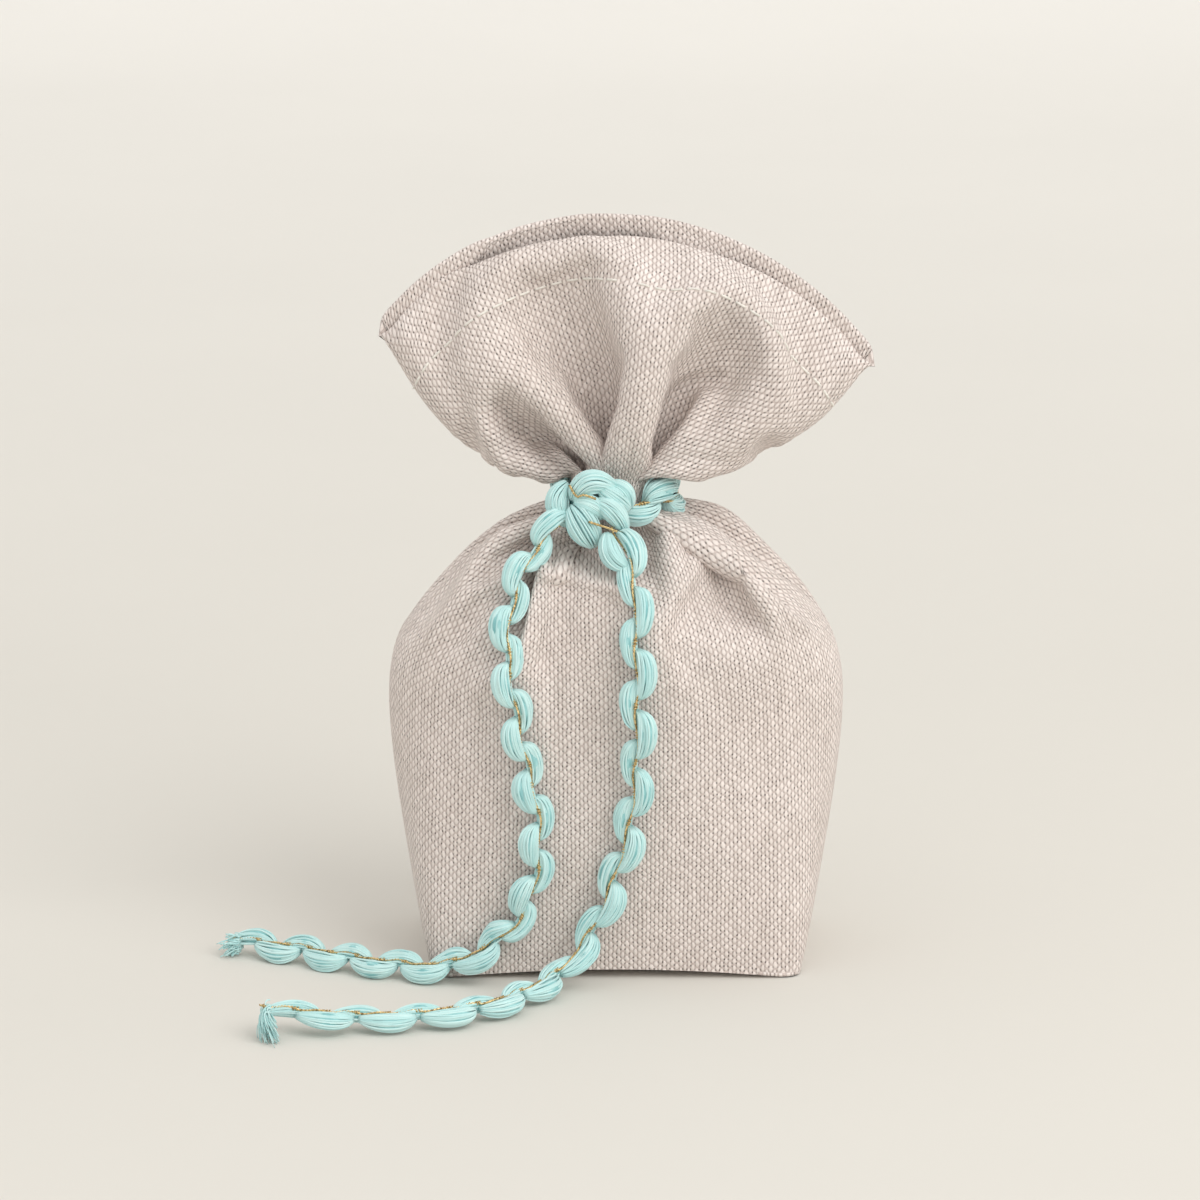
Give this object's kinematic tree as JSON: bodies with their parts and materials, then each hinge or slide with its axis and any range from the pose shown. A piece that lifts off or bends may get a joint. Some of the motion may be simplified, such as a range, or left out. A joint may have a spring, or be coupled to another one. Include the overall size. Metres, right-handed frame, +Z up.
{
  "type": "drawstring pouch",
  "caption": "Small stuffed linen pouch with a boxed base, a gathered neck tied with puffed yarn trim, and a flared open top whose lips spread.",
  "frame": {"origin": "on the table under the middle of the pouch, the tie's tails left out", "axes": "+Z up, +X to the right as seen from the front, +Y to the back; the knot is on the front, towards -Y"},
  "size_m": [0.1335, 0.0875, 0.1491],
  "materials": {
    "linen": "coarse plain weave, matte",
    "linen_inside": "coarse plain weave, matte",
    "wadding": "loose fibre, matte",
    "yarn": "soft spun yarn with a slight sheen",
    "metallic_thread": "bright twisted metallic thread"
  },
  "bodies": {
    "pouch": {"front_panel": "linen", "back_panel": "linen", "base_panel": "linen", "left_side_seam": "linen_inside", "right_side_seam": "linen_inside", "filling": "wadding", "tie_neck_loop": "yarn", "tie_loop_thread": "metallic_thread", "tie_knot": "yarn", "tie_left_tail": "yarn", "tie_left_thread": "metallic_thread", "tie_left_tuft": "yarn", "tie_right_tail": "yarn", "tie_right_thread": "metallic_thread", "tie_right_tuft": "yarn"},
    "front_lip": {"front_lip": "linen", "front_hem": "linen_inside"},
    "back_lip": {"back_lip": "linen", "back_hem": "linen_inside"}
  },
  "joints": [
    {"name": "front_lip_open", "type": "hinge", "parent": "pouch", "child": "front_lip", "pos_m": [-0.002, -0.0095, 0.0993], "axis": [1, 0, 0], "range_deg": [0, 20], "stiffness_Nm_per_rad": 0.003},
    {"name": "back_lip_open", "type": "hinge", "parent": "pouch", "child": "back_lip", "pos_m": [-0.002, 0.0095, 0.0993], "axis": [-1, 0, 0], "range_deg": [0, 20], "stiffness_Nm_per_rad": 0.003}
  ]
}
